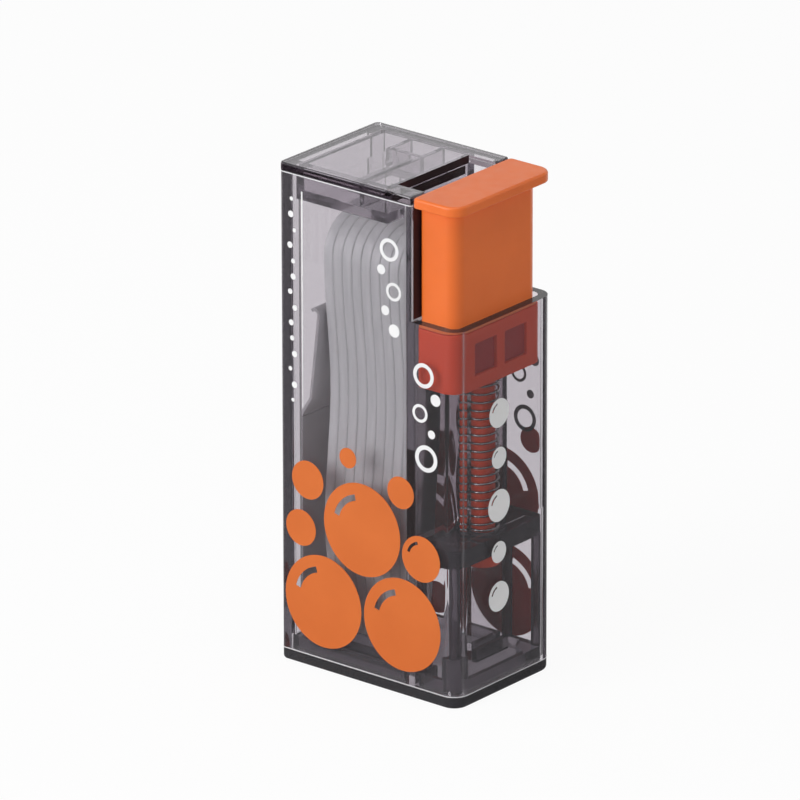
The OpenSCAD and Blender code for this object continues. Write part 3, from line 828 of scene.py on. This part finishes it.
def printed(name, sheet, draw, ink, inside):
    """Lays what draw makes on a wall, as a thin film."""
    bm = bmesh.new()
    draw(bm)
    bmesh.ops.remove_doubles(bm, verts=bm.verts, dist=0.002)
    thicken(bm, INK_THICK)
    bmesh.ops.translate(bm, verts=bm.verts, vec=(0, 0, INK_LIFT))
    # the inner faces take the second material, a painted shade
    for face in bm.faces:
        face.material_index = 1 if face.normal.z < -0.5 else 0
    bm.transform(Matrix.Scale(MM, 4) @ SHEETS[sheet])
    piece = new_piece(name, bm, ink)
    piece.data.materials.append(inside)
    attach(piece, "root")
    print(f"{name}: {len(piece.data.polygons)} faces")


# %% The orange bubbles, front and back
FRONT_BUBBLES = [
    (-10.3, 13.3, 8.7), (7.7, 13.5, 8.7), (-1.4, 29.2, 8.7), (-15.4, 26.2, 3.4), (12.0, 27.0, 4.3),
    (-13.8, 35.6, 3.6), (7.4, 38.4, 3.0), (-4.6, 42.0, 1.9),
]
BACK_BUBBLES = [
    (-8.9, 12.6, 8.8), (-7.6, 30.9, 8.8), (8.3, 21.0, 8.8), (15.6, 9.4, 3.2), (5.4, 7.4, 3.0),
    (5.5, 35.3, 4.3), (14.6, 33.2, 3.2), (-1.4, 43.2, 2.6), (-14.6, 42.4, 2.4),
]
GLINT_FROM = 4.0


def bubbles(places):
    """Draws each (u, v, radius), the large ones with a glint."""
    def draw(bm):
        for place in places:
            (bubble if place[2] > GLINT_FROM else dot)(bm, *place)
    return draw


for sheet, places in (("front", FRONT_BUBBLES), ("back", BACK_BUBBLES)):
    name = f"orange_bubbles_{sheet}"
    printed(name, sheet, bubbles(places), ink_orange, ink_shade)

# %% The white foam, the fine stripe and its dots
FOAM_RINGS = [
    (12.6, 61.6, 2.3), (11.8, 54.4, 1.7), (13.2, 46.2, 2.5), (4.9, 83.2, 2.1), (5.9, 75.6, 1.7),
]
FOAM_DOTS = [
    (15.3, 57.6, 1.1), (14.4, 51.0, 0.8), (3.1, 79.2, 0.9), (4.0, 71.8, 0.9), (6.0, 68.4, 1.2),
]
STRIPE_U, STRIPE_LOW, STRIPE_HIGH, STRIPE_WIDTH = -14.85, 49, 89.5, 0.32
FINE_DOTS = 14
FINE_U, FINE_SWAY = -17.1, 0.55
FINE_LOW, FINE_STEP = 50, 2.9
FINE_LEAST, FINE_MORE = 0.35, 0.25


def foam(way):
    """Rings and dots beside the button and the picks, and a stripe with fine dots by the edge."""
    def draw(bm):
        for u, v, r in FOAM_RINGS:
            arc(bm, way * u, v, RING_HOLE * r, r, 0, 360)
        for u, v, r in FOAM_DOTS:
            dot(bm, way * u, v, r)
        stripe(bm, way * STRIPE_U, STRIPE_LOW, STRIPE_HIGH, STRIPE_WIDTH)
        for n in range(FINE_DOTS):
            u = FINE_U + FINE_SWAY * math.sin(2.4 * n)
            r = FINE_LEAST + FINE_MORE * abs(math.sin(1.7 * n))
            dot(bm, way * u, FINE_LOW + FINE_STEP * n, r)
    return draw


for sheet, way in (("front", 1), ("back", -1)):
    printed(f"white_foam_{sheet}", sheet, foam(way), ink_white, white_shade)

# %% White bubbles on the narrow side, with the case showing through their glints
SIDE_U = -1.9
SIDE_BUBBLES = [(53.0, 2.7), (44.6, 2.0), (35.6, 3.0), (26.8, 2.0), (18.4, 2.8)]


def side_bubbles(bm):
    """A column of bubbles, each with a height and a radius."""
    for v, radius in SIDE_BUBBLES:
        bubble(bm, SIDE_U, v, radius)


printed("white_bubbles_side", "side", side_bubbles, ink_white, white_shade)

# %% [markdown]
# ## The studio
# The object stands on a pale floor in soft light. For the camera, and for what is seen through
# the plastic, the floor is white, and it still takes a faint shadow. In the gloss of the walls it
# shows a painted reflection: a grey glow that stands for a studio table where no lamp points, dim
# near the object and paler farther out towards one side, so the walls stay clear to look into.
# The sky is white near the horizon and dimmer overhead, which gives the rounded edges of the
# plastic their dark and bright lines.

# %% The floor
WHITE_SHARE = 0.93
FLOOR_HALF = 4.0
FLOOR_DROP = 0.02
PAINTED_LIT_SIDE = (-0.8, 0.6, 0)


def floor_paint():
    """White for the camera and through the plastic; in gloss, a painted reflection that glows dim
    grey.
    """
    made, out = new_material("pale_floor")
    tree = made.node_tree
    path = add(tree, "LightPath")
    direct = either(tree, path.outputs["Is Camera Ray"], path.outputs["Is Transmission Ray"])
    share = add(tree, "Math")
    share.operation = "MULTIPLY"
    share.inputs[1].default_value = WHITE_SHARE
    tree.links.new(direct, share.inputs[0])
    paint = add(tree, "BsdfDiffuse", Roughness=0.5)
    tone = two_tones(tree, noise(tree, 3), (0.86, 0.86, 0.86), (0.88, 0.88, 0.88))
    tree.links.new(tone, paint.inputs["Color"])
    glow = add(tree, "Emission", Color=(1, 1, 1, 1), Strength=1.0)
    seen = mixed(tree, share.outputs[0], paint.outputs[0], glow.outputs[0])
    # painted reflection and shade: in gloss the floor glows grey, dim near the object and paler
    # farther out towards one side
    aside = add(tree, "VectorMath")
    aside.operation = "DOT_PRODUCT"
    aside.inputs[1].default_value = PAINTED_LIT_SIDE
    fade = add(tree, "MapRange", From_Min=0.0, From_Max=0.09, To_Min=0.2, To_Max=0.85)
    dim = add(tree, "Emission", Color=(1, 1, 1, 1))
    tree.links.new(add(tree, "TexCoord").outputs["Object"], aside.inputs[0])
    tree.links.new(aside.outputs["Value"], fade.inputs["Value"])
    tree.links.new(fade.outputs["Result"], dim.inputs["Strength"])
    mirrored = add(tree, "Math")
    mirrored.operation = "GREATER_THAN"
    mirrored.inputs[1].default_value = 0.5
    tree.links.new(path.outputs["Glossy Depth"], mirrored.inputs[0])
    shown = mixed(tree, mirrored.outputs[0], seen, dim.outputs[0])
    tree.links.new(shown, out.inputs["Surface"])
    return made


bm = bmesh.new()
bmesh.ops.create_grid(bm, x_segments=1, y_segments=1, size=FLOOR_HALF)
bmesh.ops.translate(bm, verts=bm.verts, vec=mm(0, 0, -FLOOR_DROP))
floor = new_piece("floor", bm, floor_paint())

# %% The sky
world = bpy.data.worlds.new("studio")
world.use_nodes = True
scene.world = world
tree = world.node_tree
tree.nodes.clear()
out = tree.nodes.new("ShaderNodeOutputWorld")
path = add(tree, "LightPath")
split = add(tree, "SeparateXYZ")
overhead = add(tree, "MapRange", From_Min=0.35, From_Max=0.9, To_Min=0.85, To_Max=0.4)
tree.links.new(add(tree, "TexCoord").outputs["Generated"], split.inputs[0])
tree.links.new(split.outputs["Z"], overhead.inputs["Value"])
fill = add(tree, "Background", Color=(1, 1, 1, 1), Strength=0.42)
sky = add(tree, "Background", Color=(1, 1, 1, 1))
white = add(tree, "Background", Color=(1, 1, 1, 1), Strength=1.0)
tree.links.new(overhead.outputs["Result"], sky.inputs["Strength"])
bounced = either(tree, path.outputs["Is Glossy Ray"], path.outputs["Is Transmission Ray"])
around = mixed(tree, bounced, fill.outputs[0], sky.outputs[0])
shown = mixed(tree, path.outputs["Is Camera Ray"], around, white.outputs[0])
tree.links.new(shown, out.inputs["Surface"])

# %% The lamps


def lamp(name, place, power, size):
    """A square soft box that faces the middle of the object."""
    data = bpy.data.lights.new(name, "AREA")
    data.energy = power
    data.size = size
    box = bpy.data.objects.new(name, data)
    box.location = place
    box.rotation_euler = (Vector(place) - AIM).to_track_quat("Z", "Y").to_euler()
    scene.collection.objects.link(box)


lamp("key", (-0.25, -0.75, 0.30), 3.9, 0.45)
lamp("top", (0.10, -0.10, 0.85), 1.5, 0.5)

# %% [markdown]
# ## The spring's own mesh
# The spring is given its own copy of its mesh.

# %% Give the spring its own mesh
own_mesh(spring)
